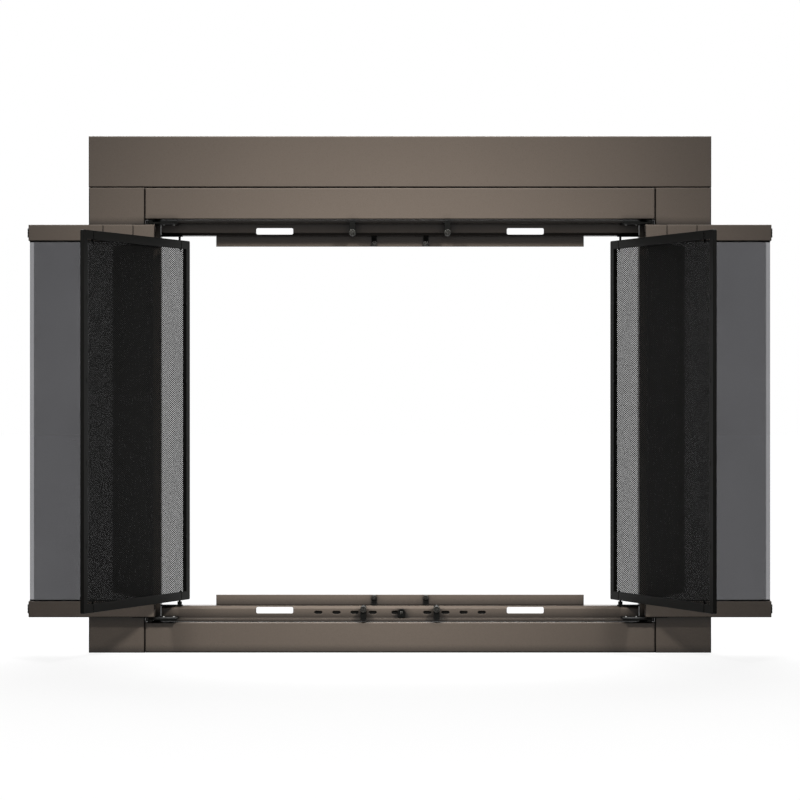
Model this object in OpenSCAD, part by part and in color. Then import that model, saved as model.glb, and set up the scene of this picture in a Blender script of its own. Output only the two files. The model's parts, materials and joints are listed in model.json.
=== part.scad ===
// Fireplace glass door set: a folded steel frame with two bifold pairs of glass
// panels and two mesh gates, drawn with both folded open.
// X runs along the opening, +Y goes into the firebox, Z is up. The origin is the middle of
// the frame's underside, where it stands on the hearth.

/* [Outer frame] */
// Overall width of the outer frame
frame_w = 952; // [860:1:1100]
// Overall height of the outer frame, header included
frame_h = 790; // [700:1:900]
// Height of the header plate
header_h = 78.5; // [40:0.5:120]
// Width of each jamb
jamb_w = 86; // [70:1:110]
// Height of the top rail
top_rail_h = 48.5; // [40:0.5:70]
// Height of the bottom rail
bottom_rail_h = 46.5; // [40:0.5:70]
// Depth of the outer frame, front to back
frame_depth = 25; // [20:1:32]
// Thickness of the folded sheet
sheet = 1.5; // [1:0.1:2]
// Radius of the folded front edges
bend_r = 2; // [1.6:0.1:3]
// Gap between neighbouring pieces of the outer frame
joint_gap = 0.6; // [0.4:0.1:0.9]

/* [Inner frame] */
// Setback of the inner frame's front lip from the frame's face
lip_depth = 12; // [8:1:16]
// Setback of the inner plates from the frame's face
plate_depth = 36; // [32:1:42]
// Step from the outer frame up to the sill of the inner frame
sill_step = 4.5; // [3.5:0.1:6]
// Height of each inner plate above its sill
plate_h = 14.2; // [13:0.1:18]
// Size of the bevel along the free edge of each inner plate
bevel = 4; // [2:0.5:5]
// Depth of the return flange behind each inner plate
return_depth = 30; // [26:1:40]
// Width of the side members, as far as they show inside the jambs
side_show = 21.5; // [18:0.5:26]

/* [Vents and draught slider] */
// Distance of each vent slot from the middle
vent_x = 193; // [150:1:210]
// Length of a vent slot
vent_len = 57; // [40:1:70]
// Height of a vent slot
vent_h = 9.8; // [7:0.1:11]
// Corner radius of a vent slot
vent_r = 2.5; // [1.5:0.1:3]
// Distance between neighbouring draught slots
draught_pitch = 28; // [26:0.5:30]
// Distance from the middle to the first draught slot
draught_x = 42; // [40:0.5:48]
// Number of draught slots on each side
draught_count = 4; // [2:1:4]
// Length of a draught slot
draught_len = 11.8; // [8:0.1:13]
// Height of a draught slot
draught_h = 4.3; // [3:0.1:5]
// Height of the draught slots above the sill
draught_z = 8; // [7:0.1:9]
// Travel of the draught slider between closed and open
slide_travel = 12.6; // [12:0.2:14]
// Thickness of the draught slider
slider_t = 1.2; // [1:0.1:1.5]
// Distance of the closed slider's knob from the middle
knob_x = 2.3; // [0:0.1:5]
// Diameter of the slider's knob
knob_d = 13; // [10:0.5:14]
// Diameter of the stem of the knob
stem_d = 4; // [3:0.1:4.2]

/* [Glass panels] */
// Gap between neighbouring panels, and between panel and jamb
panel_gap = 2.6; // [2.4:0.1:3.6]
// Gap between the sill and the panels, top and bottom
panel_rise = 4.5; // [4.2:0.1:6]
// Thickness of a panel's rails
panel_t = 9; // [8:0.5:9.5]
// Height of a panel's rails
panel_rail_h = 24.4; // [20:0.1:30]
// Thickness of the glass
glass_t = 4; // [3:0.5:5]
// Depth of the groove that holds the glass
groove = 14; // [8:0.5:18]
// Thickness of the gasket round the glass
gasket_t = 1; // [0.6:0.1:1.4]
// How far the gasket shows past the rail
gasket_show = 1.8; // [1:0.1:3]
// Setback of the hinged pane at the fold
hinged_setback = 0.5; // [0.5:0.5:6]
// Setback of the lead pane at the fold
lead_setback = 7.8; // [4:0.1:12]
// Setback of the panes at their other edge
free_setback = 3; // [1:0.5:6]
// Distance of the pivot from the hinged panel's end
pivot_inset = 6.75; // [6:0.05:8]
// Clearance between the folded pair and the jamb
jamb_clear = 1; // [0.6:0.1:2]
// Gap between the backs of a folded pair
fold_gap = 1.5; // [1.2:0.1:3]
// Radius of the pivot pins
pivot_r = 2; // [1.5:0.1:2.5]
// Radial clearance of every running pin
pin_clear = 0.05; // [0.02:0.01:0.1]

/* [Mesh gates] */
// Distance of the gate pivots from the ends of the long inner members
gate_end = 28.2; // [28:0.1:31]
// Distance of the gate pivots behind the inner plates
gate_back = 6; // [5.5:0.1:7]
// Distance of a gate's middle plane behind its pivots, when closed
gate_offset = 2.5; // [2:0.1:3]
// Distance of the pivots from the gate's end
gate_inset = 26; // [22:0.5:27]
// Thickness of the gate's bars
gate_t = 6; // [5:0.1:6.5]
// Width of the gate's bars
gate_bar = 13; // [10:0.5:16]
// Thickness of the mesh
mesh_t = 1.2; // [0.8:0.1:2]
// Gap between the two closed gates
gate_meet = 3; // [2:0.5:6]
// Gap between a gate and the inner plates, below it
gate_gap_low = 8.5; // [7:0.1:12]
// Gap between a gate and the inner plates, above it
gate_gap_high = 7.2; // [6:0.1:12]
// Angle at which the left gate stands open
gate_open_left = 111; // [100:0.2:111]
// Angle at which the right gate stands open
gate_open_right = 110.2; // [100:0.2:111]
// Radius of the gate's pivot pins
gate_pin_r = 1.75; // [1.5:0.05:2]
// Thickness of the gate's pivot tabs
tab_t = 1.6; // [1.2:0.1:2]

/* [Stop bars and catches] */
// Distance of the stop bars' ends from the gate pivots
stop_end = 55.8; // [50:0.1:80]
// Height of the stop bars
stop_h = 16.3; // [12:0.1:18]
// Distance of the stop bars behind the gate pivots
stop_back = 10; // [9.5:0.1:11]
// Distance of the lower door catches from the middle
low_catch_x = 56; // [30:1:80]
// Distance of the upper door catches from the middle
high_catch_x = 72.6; // [30:0.1:100]
// Distance of the gate catches from the middle
gate_catch_x = 40; // [20:0.5:60]
// Radius of the door catch magnets
door_magnet_r = 5; // [3:0.1:6]
// Radius of the gate catch magnets
gate_magnet_r = 4; // [3:0.1:4.5]
// Clearance between a magnet and what it holds
magnet_clear = 0.3; // [0.2:0.05:0.6]

/* [Hidden] */
$fn = 32;
bronze = [0.38, 0.34, 0.31];
satin_black = [0.07, 0.07, 0.07];
smoked = [0.45, 0.46, 0.48, 0.6];
steel = [0.62, 0.62, 0.62];
eps = 0.01;

// Outer frame. Depths are measured back from the frame's face.
face_y = -frame_depth / 2;
opening_w = frame_w - 2 * jamb_w;
opening_low = bottom_rail_h;
opening_high = frame_h - header_h - joint_gap - top_rail_h;
mid_z = (opening_low + opening_high) / 2;
jamb_h = frame_h - header_h - joint_gap;
half_open = opening_w / 2;

// Inner frame
lip_gap = 0.3;
sill_low = opening_low + sill_step;
sill_high = opening_high - sill_step;
edge_low = sill_low + plate_h + bevel;
edge_high = sill_high - plate_h - bevel;
member_gap = 0.5;
member_half = half_open - side_show - member_gap;
return_back = plate_depth + return_depth;

// Vents and slider. The slider fits between its clips, and they end where the bevel starts.
vent_z = plate_h + bevel - sheet - 0.2 - vent_h / 2;
slide_gap = 0.4;
clip_t = 1;
clip_w = 8;
clip_x = knob_x + 14;
slider_h = 2 * (plate_h - draught_z - slide_gap - clip_t) - 0.1;
slider_depth = plate_depth + sheet + slide_gap;
slider_end = draught_x + draught_pitch * (draught_count - 1) + draught_len / 2 + 3;
stem_gap = 0.3;
knob_slot = slide_travel + stem_d + 2 * stem_gap;
knob_slot_h = stem_d + 2 * stem_gap;
knob_t = 6;
knob_neck = 2.5;
knob_gap = 1.5;
knob_foot_w = 11;
knob_foot_gap = 0.4;

// Glass panels, left side: folded flat in front of the jamb
panel_w = (opening_w - 5 * panel_gap) / 4;
panel_low = sill_low + panel_rise;
panel_high = sill_high - panel_rise;
pivot_x = -half_open + panel_gap + pivot_inset;
fold_reach = panel_w + panel_gap / 2 - pivot_inset;
fold_depth = -jamb_clear - panel_t - fold_gap / 2;
pivot_depth = fold_depth;
fold_x = pivot_x - fold_reach;
end_x = fold_x + panel_gap / 2;
hinged_front = -jamb_clear - panel_t;
lead_front = hinged_front - fold_gap - panel_t;
closed_back = pivot_depth - fold_gap / 2;
step_gap = 0.35;
free_lip = 1.2;

// Pivot brackets, each riveted to the sill, with the bore for the panel's pivot at its front
bracket_t = 2.6;
bracket_gap = 1.1;
bracket_x0 = -half_open + sill_step + bracket_gap;
bracket_x1 = -member_half + 28;
bracket_back = plate_depth - 2;
boss_r = pivot_x - bracket_x0;
boss_h = 2.6;
rivet_r = 2.4;
rivet_shank = 1.8;
rivet_head = 1;
rivet_xs = [-member_half + 5, -member_half + 21];
rivet_depth = plate_depth - 19;

// Ears that carry the hinged panels on their pins
ear_t = 1.1;
ear_len = 28;
ear_low = sill_low + bracket_t + step_gap;
ear_high = ear_low + ear_t;
ear_front_in = 0.4;
ear_back_in = 1;
ear_front = hinged_front + ear_front_in;
ear_back = hinged_front + panel_t - ear_back_in;
seat_len = 20;
seat_in = 1;

// Fold hinges: a pin and two end knuckles on one panel, a middle knuckle on the other
knuckle_r = panel_gap / 2 - 0.05;
fold_pin_r = knuckle_r - 0.55;
leaf_t = 1;
leaf_h = 18;
leaf_gap = 0.2;
middle_h = 5;
end_h = 4;
fold_z = panel_low + panel_rail_h / 2;

// Gates
gate_x = member_half - gate_end;
gate_depth = plate_depth + gate_back;
stop_half = gate_x - stop_end;
stop_depth = gate_depth + stop_back;
tab_r = 5;
gate_low = edge_low + gate_gap_low;
gate_high = edge_high - gate_gap_high;
gate_reach = gate_x - gate_meet / 2;
collar_r = 3.5;
collar_gap = 2;
corner_r = 6;

// Catches
door_magnet_z = 16;
door_magnet_t = 4;
holder_w = 9;
foot_t = 2.5;
holder_back = plate_depth - 8;
gate_magnet_z = gate_gap_low + 3.6;
gate_magnet_front = gate_depth + gate_offset + gate_t / 2 + magnet_clear;
gate_magnet_t = 2.4;

// Frame screws
screw_r = 2;
screw_clear = 0.2;
screw_len = 8;
screw_head = 2.5;
screw_depth = 15;
joint_zs = [opening_low - 32, opening_low - 14, opening_high + 14, opening_high + 34];
joint_xs = [half_open + 24, frame_w / 2 - 24];

// Anchor holes in the inner frame's sides
anchor_r = 3.25;
anchor_depth = plate_depth - 5.5;
anchor_spacing = 400;

// Where the glass and its gasket run: measured back from a rail's front
glass_front = panel_t / 2 - glass_t / 2;
glass_back = panel_t / 2 + glass_t / 2;
groove_low = panel_low + panel_rail_h - groove;
rail_top = panel_low + panel_rail_h;

// Lowest point of a fold hinge's end knuckles, measured from its middle
end_low = middle_h / 2 + step_gap;

// How far a cut reaches past the surface that it goes through
cut = 1;

// How far the hinge leaves stay inside the rails' thickness
leaf_inset = 1;

// How much smaller in radius the knob's neck is than the knob
neck_in = 1;

// ---------------------------------------------------------------- shared shapes

// A box from its low corner to its high corner, with Y given as depths behind the face
module block(x0, x1, d0, d1, z0, z1)
    translate([x0, face_y + d0, z0]) cube([x1 - x0, d1 - d0, z1 - z0]);

// A vertical round bar
module post(x, d, z0, z1, r)
    translate([x, face_y + d, z0]) cylinder(r = r, h = z1 - z0);

// A round bar that runs front to back
module stud(x, z, d0, d1, r)
    translate([x, face_y + d0, z]) rotate([-90, 0, 0]) cylinder(r = r, h = d1 - d0);

// Half of a piece repeated on both sides of the middle
module both_sides() { children(); mirror([1, 0, 0]) children(); }

// A piece turned over about the middle height of the opening, alone or with the lower one
module upside() translate([0, 0, 2 * mid_z]) mirror([0, 0, 1]) children();
module both_ends() { children(); upside() children(); }

// Section of a sheet folded back along both edges: x along the width, y back from the face
module folded_section(w)
    difference() {
        union() {
            translate([0, bend_r]) square([w, frame_depth - bend_r]);
            translate([bend_r, 0]) square([w - 2 * bend_r, bend_r + eps]);
            for (x = [bend_r, w - bend_r]) translate([x, bend_r]) circle(bend_r);
        }
        translate([sheet, sheet]) square([w - 2 * sheet, frame_depth]);
    }

// Upright folded piece with closed ends
module upright_piece(x0, w, z0, h) {
    translate([x0, face_y, z0]) linear_extrude(h) folded_section(w);
    for (z = [z0, z0 + h - sheet])
        block(x0 + sheet, x0 + w - sheet, sheet, frame_depth, z, z + sheet);
}

// Lying folded piece with closed ends
module lying_piece(x0, w, z0, h) {
    translate([x0, face_y, z0]) rotate([90, 0, 90]) linear_extrude(w)
        rotate(90) mirror([0, 1]) folded_section(h);
    for (x = [x0, x0 + w - sheet])
        block(x, x + sheet, sheet, frame_depth, z0 + sheet, z0 + h - sheet);
}

// ---------------------------------------------------------------- outer frame

// A round bar that runs along X
module bar(x0, x1, d, z, r)
    translate([x0, face_y + d, z]) rotate([0, 90, 0]) cylinder(r = r, h = x1 - x0);

// Frame screws run along X between jamb and rail, and up through jamb and header
module screw_paths(r, reach) {
    both_sides() for (z = joint_zs) bar(half_open - reach, half_open + reach, screw_depth, z, r);
    both_sides() for (x = joint_xs) post(x, screw_depth, jamb_h - reach, jamb_h + reach, r);
}

module screw_holes() screw_paths(screw_r + screw_clear, screw_len);

module header()
    color(bronze) difference() {
        lying_piece(-frame_w / 2, frame_w, frame_h - header_h, header_h);
        screw_holes();
    }

module left_jamb()
    color(bronze) difference() {
        upright_piece(-frame_w / 2, jamb_w, 0, jamb_h);
        screw_holes();
    }

module right_jamb() mirror([1, 0, 0]) left_jamb();

module cross_rail(z0, h)
    color(bronze) difference() {
        lying_piece(-half_open + joint_gap, opening_w - 2 * joint_gap, z0, h);
        screw_holes();
    }

module top_rail() cross_rail(opening_high, top_rail_h);
module bottom_rail() cross_rail(0, bottom_rail_h);

module frame_screws()
    color(steel) {
        screw_paths(screw_r, screw_len / 2);
        both_sides() for (z = joint_zs)
            bar(half_open + sheet, half_open + sheet + screw_head, screw_depth, z, 2 * screw_r);
        both_sides() for (x = joint_xs)
            post(x, screw_depth, jamb_h - sheet - screw_head, jamb_h - sheet, 2 * screw_r);
    }

// ---------------------------------------------------------------- inner frame

// Section of an inner member: u runs back from the face, v away from the outer frame.
// A lip, a sill, the plate, a bevel and a return flange, all one folded sheet.
module inner_section() {
    rise = sill_step - lip_gap;
    top = plate_h + bevel;
    translate([lip_depth, -rise]) square([sheet, rise]);
    translate([lip_depth, -sheet]) square([plate_depth + sheet - lip_depth, sheet]);
    translate([plate_depth, -sheet]) square([sheet, plate_h + sheet]);
    polygon([[plate_depth, plate_h], [plate_depth + sheet, plate_h],
        [plate_depth + bevel + sheet * 0.4, top - sheet],
        [plate_depth + bevel, top]]);
    translate([plate_depth + bevel, top - sheet]) square([return_depth - bevel, sheet]);
}

// Lower member, before its slots
module long_member()
    translate([-member_half, face_y, sill_low]) rotate([90, 0, 90])
        linear_extrude(2 * member_half) inner_section();

module vent_cut() {
    front = plate_depth - cut;
    back = plate_depth + bevel + sheet + cut;
    x0 = vent_x - vent_len / 2;
    x1 = vent_x + vent_len / 2;
    z0 = sill_low + vent_z - vent_h / 2;
    z1 = sill_low + vent_z + vent_h / 2;
    both_sides() {
        for (x = [x0 + vent_r, x1 - vent_r], z = [z0 + vent_r, z1 - vent_r])
            stud(x, z, front, back, vent_r);
        block(x0, x1, front, back, z0 + vent_r, z1 - vent_r);
        block(x0 + vent_r, x1 - vent_r, front, back, z0, z1);
    }
}

// A slot with round ends, front to back
module round_slot(x, z, len, h, d0, d1) {
    block(x - len / 2 + h / 2, x + len / 2 - h / 2, d0, d1, z - h / 2, z + h / 2);
    for (s = [1, -1]) stud(x + s * (len / 2 - h / 2), z, d0, d1, h / 2);
}

module draught_cuts(shift, d0, d1)
    for (s = [1, -1], i = [0 : draught_count - 1])
        round_slot(s * (draught_x + i * draught_pitch) + shift, sill_low + draught_z,
            draught_len, draught_h, d0, d1);

module bracket_holes()
    both_sides() for (x = rivet_xs)
        post(x, rivet_depth, sill_low - 2 * sheet, sill_low + sheet, rivet_shank);

module gate_pin_holes()
    both_sides() post(-gate_x, gate_depth, edge_low - 2 * sheet, edge_low + sheet, gate_pin_r + stem_gap);

module inner_bottom()
    color(bronze) difference() {
        long_member();
        vent_cut();
        draught_cuts(0, plate_depth - cut, plate_depth + sheet + cut);
        round_slot(knob_x - slide_travel / 2, sill_low + draught_z, knob_slot, knob_slot_h,
            plate_depth - cut, plate_depth + sheet + cut);
        bracket_holes();
        gate_pin_holes();
    }

module inner_top()
    color(bronze) upside() difference() {
        long_member();
        vent_cut();
        bracket_holes();
        gate_pin_holes();
    }

// Side member: it runs from rail to rail beside the ends of the long members
module inner_left()
    color(bronze) difference() {
        translate([-half_open + sill_step, face_y, opening_low + lip_gap])
            linear_extrude(opening_high - opening_low - 2 * lip_gap)
                mirror([1, 0]) rotate(90) side_section();
        for (s = [1, -1])
            bar(-half_open, -half_open + 2 * sill_step, anchor_depth,
                mid_z + s * anchor_spacing / 2, anchor_r);
    }

module inner_right() mirror([1, 0, 0]) inner_left();

// Section of a side member, narrower than the long ones
module side_section() {
    rise = sill_step - lip_gap;
    width = side_show - sill_step;
    translate([lip_depth, -rise]) square([sheet, rise]);
    translate([lip_depth, -sheet]) square([plate_depth + sheet - lip_depth, sheet]);
    translate([plate_depth, -sheet]) square([sheet, width + sheet]);
    translate([plate_depth, width - sheet]) square([return_depth, sheet]);
}

// ---------------------------------------------------------------- stop bars and catches

module lower_stop_bar()
    color(bronze) {
        block(-stop_half, stop_half, stop_depth, stop_depth + sheet, edge_low, edge_low + stop_h);
        block(-stop_half, stop_half, stop_depth + sheet, return_back, edge_low, edge_low + sheet);
    }

module upper_stop_bar() upside() lower_stop_bar();

// Door catch: a deep block with a round top on the sill, with the magnet on its front
module door_catch(x) {
    front = closed_back + magnet_clear + door_magnet_t;
    z = sill_low + door_magnet_z;
    block(x - holder_w / 2, x + holder_w / 2, front, holder_back, sill_low, z);
    stud(x, z, front, holder_back, holder_w / 2);
}

module door_magnet(x) {
    front = closed_back + magnet_clear;
    stud(x, sill_low + door_magnet_z, front, front + door_magnet_t, door_magnet_r);
}

module door_catch_holders()
    color(satin_black) both_sides() {
        door_catch(low_catch_x);
        upside() door_catch(high_catch_x);
    }

module door_catch_magnets()
    color(steel) both_sides() {
        door_magnet(low_catch_x);
        upside() door_magnet(high_catch_x);
    }

// Gate catch: a block on the inner frame's return flange, against the stop bar
module gate_catch(x) {
    back = gate_magnet_front + gate_magnet_t;
    z = edge_low + gate_magnet_z;
    block(x - gate_magnet_r, x + gate_magnet_r, back, stop_depth, edge_low, z);
    stud(x, z, back, stop_depth, gate_magnet_r);
    block(x - gate_magnet_r, x + gate_magnet_r, gate_depth, back, edge_low, edge_low + foot_t);
}

module gate_catch_holders()
    color(satin_black) both_sides() both_ends() gate_catch(gate_catch_x);

module gate_catch_magnets()
    color(steel) both_sides() both_ends()
        stud(gate_catch_x, edge_low + gate_magnet_z, gate_magnet_front,
            gate_magnet_front + gate_magnet_t, gate_magnet_r);

// ---------------------------------------------------------------- draught slider

module draught_slider()
    color(satin_black) difference() {
        block(-slider_end, slider_end + slide_travel, slider_depth, slider_depth + slider_t,
            sill_low + draught_z - slider_h / 2, sill_low + draught_z + slider_h / 2);
        draught_cuts(slide_travel, slider_depth - cut, slider_depth + slider_t + cut);
    }

// Knob with its stem through the inner plate, and a small foot just above the sill
module slider_knob() {
    z = sill_low + draught_z;
    neck = plate_depth - knob_gap - knob_neck;
    color(satin_black) {
        stud(knob_x, z, plate_depth - knob_gap, slider_depth, stem_d / 2);
        stud(knob_x, z, neck, plate_depth - knob_gap, knob_d / 2 - neck_in);
        stud(knob_x, z, neck - knob_t, neck, knob_d / 2);
        block(knob_x - knob_foot_w / 2, knob_x + knob_foot_w / 2, neck - knob_t, neck,
            sill_low + knob_foot_gap, sill_low + draught_z - knob_d / 4);
    }
}

// Two clips behind the inner plate carry the slider
module slider_guides()
    color(bronze) both_sides() {
        low = sill_low + draught_z - slider_h / 2 - slide_gap;
        high = sill_low + draught_z + slider_h / 2 + slide_gap;
        back = slider_depth + slider_t + slide_gap;
        x1 = clip_x + clip_w;
        block(clip_x, x1, back, back + clip_t, low - clip_t, high + clip_t);
        block(clip_x, x1, plate_depth + sheet, back, low - clip_t, low);
        block(clip_x, x1, plate_depth + sheet, back, high, high + clip_t);
    }

// ---------------------------------------------------------------- glass pivots

module pivot_brackets()
    color(satin_black) both_sides() both_ends() difference() {
        union() {
            block(bracket_x0, bracket_x1, pivot_depth, bracket_back, sill_low, sill_low + bracket_t);
            block(pivot_x, bracket_x1, pivot_depth - boss_r, pivot_depth + eps,
                sill_low, sill_low + bracket_t);
            post(pivot_x, pivot_depth, sill_low - boss_h, sill_low + bracket_t, boss_r);
        }
        post(pivot_x, pivot_depth, sill_low - boss_h - cut, sill_low + bracket_t + cut,
            pivot_r + pin_clear);
        for (x = rivet_xs)
            post(x, rivet_depth, sill_low - cut, sill_low + bracket_t + cut, rivet_shank);
    }

module bracket_rivets()
    color(steel) both_sides() both_ends() for (x = rivet_xs) {
        post(x, rivet_depth, sill_low - sheet, sill_low + bracket_t, rivet_shank);
        post(x, rivet_depth, sill_low + bracket_t, sill_low + bracket_t + rivet_head, rivet_r);
        post(x, rivet_depth, sill_low - sheet - rivet_head, sill_low - sheet, rivet_r);
    }

// ---------------------------------------------------------------- glass panels, left side

// Bottom rail of a panel, between two X positions, with its front at a given depth
module panel_rail(x0, x1, front)
    color(bronze) difference() {
        block(x0, x1, front, front + panel_t, panel_low, rail_top);
        block(x0 - cut, x1 + cut, front + glass_front - gasket_t, front + glass_back + gasket_t,
            groove_low, rail_top + cut);
    }

module gasket(x0, x1, front)
    color(satin_black) difference() {
        block(x0, x1, front + glass_front - gasket_t, front + glass_back + gasket_t,
            groove_low, rail_top + gasket_show);
        block(x0 - cut, x1 + cut, front + glass_front, front + glass_back,
            groove_low + gasket_t, rail_top + gasket_show + cut);
    }

module pane(x0, x1, front)
    color(smoked) block(x0, x1, front + glass_front, front + glass_back,
        groove_low + gasket_t, 2 * mid_z - groove_low - gasket_t);

module hinged_rail() panel_rail(end_x, end_x + panel_w, hinged_front);

// The lead panel's rails have a small lip at the free end
module lead_rail() {
    panel_rail(end_x, end_x + panel_w, lead_front);
    color(bronze) block(end_x + panel_w - free_lip, end_x + panel_w, lead_front, lead_front + panel_t,
        panel_low - free_lip, panel_low);
}
module hinged_pane() pane(end_x + hinged_setback, end_x + panel_w - free_setback, hinged_front);
module lead_pane() pane(end_x + lead_setback, end_x + panel_w - free_setback, lead_front);
module hinged_gasket() gasket(end_x + hinged_setback, end_x + panel_w - free_setback, hinged_front);
module lead_gasket() gasket(end_x + lead_setback, end_x + panel_w - free_setback, lead_front);

// Pivot pin, the ear under the panel and the seat that joins the ear to the rail
module pivot_pin()
    color(satin_black) {
        post(pivot_x, pivot_depth, sill_low - boss_h - step_gap, ear_high, pivot_r);
        post(pivot_x, pivot_depth, ear_low, ear_high, 2 * pivot_r);
        block(pivot_x - 2 * pivot_r, pivot_x, pivot_depth, ear_front + seat_in, ear_low, ear_high);
        block(pivot_x - ear_len, pivot_x, ear_front, ear_back, ear_low, ear_high);
        block(pivot_x - ear_len, pivot_x - ear_len + seat_len, ear_front + seat_in,
            ear_back - seat_in, ear_high, panel_low);
    }

// Round bar on a fold axis, from one height above the hinge's middle to another
module fold_bar(z0, z1, r) post(fold_x, fold_depth, fold_z + z0, fold_z + z1, r);

// Hinged panel's half of a fold hinge
module fold_pin()
    color(satin_black) {
        difference() {
            block(end_x - leaf_t, end_x, fold_depth + fold_gap / 2 + leaf_gap, -jamb_clear - leaf_inset,
                fold_z - leaf_h / 2, fold_z + leaf_h / 2);
            fold_bar(-end_low, end_low, knuckle_r + step_gap);
        }
        fold_bar(end_low, end_low + end_h, knuckle_r);
        fold_bar(-end_low - end_h, -end_low, knuckle_r);
        fold_bar(-end_low, end_low, fold_pin_r);
    }

// Lead panel's half of a fold hinge
module fold_leaf()
    color(satin_black) difference() {
        union() {
            difference() {
                block(end_x - leaf_t, end_x, lead_front + leaf_inset, fold_depth - fold_gap / 2 - leaf_gap,
                    fold_z - leaf_h / 2, fold_z + leaf_h / 2);
                for (s = [1, -1])
                    fold_bar(s * (end_low + end_h / 2) - end_h / 2 - step_gap,
                        s * (end_low + end_h / 2) + end_h / 2 + step_gap, knuckle_r + step_gap);
            }
            fold_bar(-middle_h / 2, middle_h / 2, knuckle_r);
        }
        fold_bar(-leaf_h, leaf_h, fold_pin_r + pin_clear);
    }

module left_hinged_bottom_rail() hinged_rail();
module left_hinged_top_rail() upside() hinged_rail();
module left_hinged_pane() hinged_pane();
module left_hinged_gaskets() both_ends() hinged_gasket();
module left_pivot_pins() both_ends() pivot_pin();
module left_fold_pins() both_ends() fold_pin();
module left_lead_bottom_rail() lead_rail();
module left_lead_top_rail() upside() lead_rail();
module left_lead_pane() lead_pane();
module left_lead_gaskets() both_ends() lead_gasket();
module left_fold_leaves() both_ends() fold_leaf();

module right_hinged_bottom_rail() mirror([1, 0, 0]) left_hinged_bottom_rail();
module right_hinged_top_rail() mirror([1, 0, 0]) left_hinged_top_rail();
module right_hinged_pane() mirror([1, 0, 0]) left_hinged_pane();
module right_hinged_gaskets() mirror([1, 0, 0]) left_hinged_gaskets();
module right_pivot_pins() mirror([1, 0, 0]) left_pivot_pins();
module right_fold_pins() mirror([1, 0, 0]) left_fold_pins();
module right_lead_bottom_rail() mirror([1, 0, 0]) left_lead_bottom_rail();
module right_lead_top_rail() mirror([1, 0, 0]) left_lead_top_rail();
module right_lead_pane() mirror([1, 0, 0]) left_lead_pane();
module right_lead_gaskets() mirror([1, 0, 0]) left_lead_gaskets();
module right_fold_leaves() mirror([1, 0, 0]) left_fold_leaves();

// ---------------------------------------------------------------- mesh gates

// Pivot tabs lie on the long members' return flanges, beside the side members
module gate_tabs()
    color(satin_black) both_sides() both_ends() difference() {
        union() {
            block(-member_half, -gate_x, gate_depth - tab_r, gate_depth + tab_r,
                edge_low, edge_low + tab_t);
            post(-gate_x, gate_depth, edge_low, edge_low + tab_t, tab_r);
        }
        post(-gate_x, gate_depth, edge_low - cut, edge_low + tab_t + cut, gate_pin_r + pin_clear);
    }

// A gate is drawn closed, with its pivot axis at X 0 and Y 0 and its length along +X
module gate_frame() {
    h = gate_high - gate_low;
    w = gate_inset + gate_reach;
    color(satin_black) translate([-gate_inset, gate_offset + gate_t / 2, gate_low])
        rotate([90, 0, 0]) linear_extrude(gate_t) difference() {
            union() {
                translate([corner_r, 0]) square([w - 2 * corner_r, h]);
                translate([0, corner_r]) square([w, h - 2 * corner_r]);
                for (x = [corner_r, w - corner_r], z = [corner_r, h - corner_r])
                    translate([x, z]) circle(corner_r);
            }
            translate([gate_bar, gate_bar]) square([w - 2 * gate_bar, h - 2 * gate_bar]);
        }
}

module gate_mesh()
    color(satin_black) translate([-gate_inset + gate_bar, gate_offset - mesh_t / 2,
        gate_low + gate_bar])
        cube([gate_inset + gate_reach - 2 * gate_bar, mesh_t, gate_high - gate_low - 2 * gate_bar]);

module gate_pins()
    color(satin_black) {
        translate([0, 0, edge_low - 1]) cylinder(r = gate_pin_r, h = gate_gap_low + 1);
        translate([0, 0, edge_low + tab_t + step_gap])
            cylinder(r = collar_r, h = gate_gap_low - tab_t - step_gap - collar_gap);
        translate([0, 0, gate_high]) cylinder(r = gate_pin_r, h = gate_gap_high + 1);
    }

module hang_left() translate([-gate_x, face_y + gate_depth, 0]) rotate(-gate_open_left) children();
module hang_right() mirror([1, 0, 0]) translate([-gate_x, face_y + gate_depth, 0])
    rotate(-gate_open_right) children();

module left_gate_frame() hang_left() gate_frame();
module left_gate_mesh() hang_left() gate_mesh();
module left_gate_pins() hang_left() gate_pins();
module right_gate_frame() hang_right() gate_frame();
module right_gate_mesh() hang_right() gate_mesh();
module right_gate_pins() hang_right() gate_pins();

// ---------------------------------------------------------------- nodes

header();
left_jamb();
right_jamb();
top_rail();
bottom_rail();
frame_screws();
inner_top();
inner_bottom();
inner_left();
inner_right();
upper_stop_bar();
lower_stop_bar();
door_catch_holders();
door_catch_magnets();
gate_catch_holders();
gate_catch_magnets();
draught_slider();
slider_knob();
slider_guides();
pivot_brackets();
bracket_rivets();
gate_tabs();
left_hinged_top_rail();
left_hinged_bottom_rail();
left_hinged_pane();
left_hinged_gaskets();
left_pivot_pins();
left_fold_pins();
left_lead_top_rail();
left_lead_bottom_rail();
left_lead_pane();
left_lead_gaskets();
left_fold_leaves();
right_hinged_top_rail();
right_hinged_bottom_rail();
right_hinged_pane();
right_hinged_gaskets();
right_pivot_pins();
right_fold_pins();
right_lead_top_rail();
right_lead_bottom_rail();
right_lead_pane();
right_lead_gaskets();
right_fold_leaves();
left_gate_frame();
left_gate_mesh();
left_gate_pins();
right_gate_frame();
right_gate_mesh();
right_gate_pins();
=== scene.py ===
"""Looks of the fireplace glass door set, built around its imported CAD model.

The frame is the CAD frame: X runs along the opening, +Y goes into the firebox and Z is up. Every
sub-assembly is written for the left half, and the right half is its mirror image. The finishes,
MeshGate and Studio hold metres. The other classes hold millimetres, with depths measured back
from the face of the outer frame.
"""

import json
import logging
import math
from dataclasses import dataclass
from enum import Enum
from typing import Callable, Iterable, Optional, Sequence, Union

import bmesh
import bpy
from mathutils import Matrix, Vector


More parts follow.
